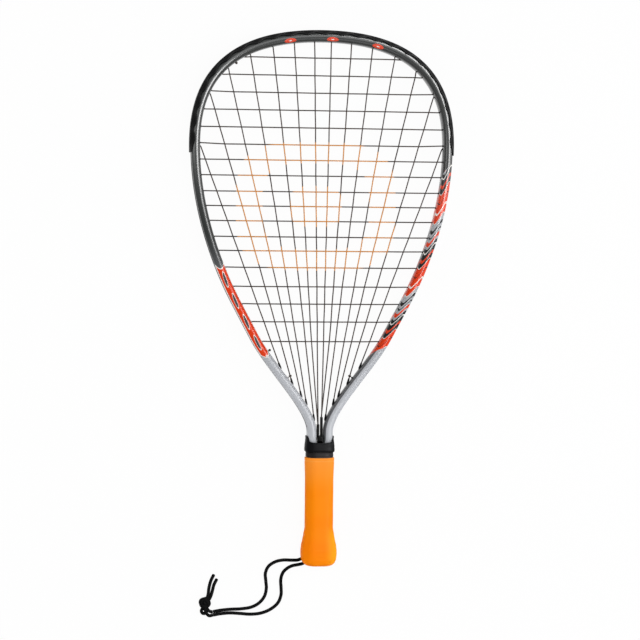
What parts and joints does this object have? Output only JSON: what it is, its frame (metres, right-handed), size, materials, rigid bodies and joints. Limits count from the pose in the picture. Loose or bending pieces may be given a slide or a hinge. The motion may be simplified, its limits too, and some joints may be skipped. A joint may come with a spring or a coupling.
{
  "type": "racquetball racket",
  "caption": "Teardrop-headed racquetball racket with a woven string bed, scalloped bumper guard, flared rubber grip and a knotted wrist cord.",
  "frame": {"origin": "under the middle of the racket without its cord, on the surface that the butt rests on", "axes": "+Y along the racket from the butt to the head, +X across the face to the right, +Z out of the face"},
  "size_m": [0.278, 0.6138, 0.033],
  "materials": {
    "frame": "silver fading to gunmetal at the head, glossy",
    "guard": "black, satin",
    "string": "dark nylon string",
    "pallet": "rigid foam, hidden",
    "cap": "black moulding, hidden",
    "steel": "staple wire",
    "grip": "orange moulded rubber",
    "collar": "black rubber",
    "band": "dark grey rubber",
    "cord": "black braided cord"
  },
  "bodies": {
    "root": {"main_string": "string", "cross_string": "string", "main_string_knot_left": "string", "main_string_knot_right": "string", "cross_string_knot_top": "string", "cross_string_knot_foot": "string", "frame": "frame", "grommet_strip_left": "guard", "grommet_strip_right": "guard", "bumper_guard": "guard", "throat_guide": "guard", "butt_cap": "cap", "handle_pallet_front": "pallet", "butt_cap_staple_front": "steel", "handle_pallet_back": "pallet", "butt_cap_staple_back": "steel", "grip": "grip", "throat_collar": "collar", "grip_band": "band", "cord_anchor_loop": "cord", "wrist_cord_upper": "cord", "wrist_cord_lower": "cord", "wrist_cord_knot": "cord"}
  },
  "joints": []
}
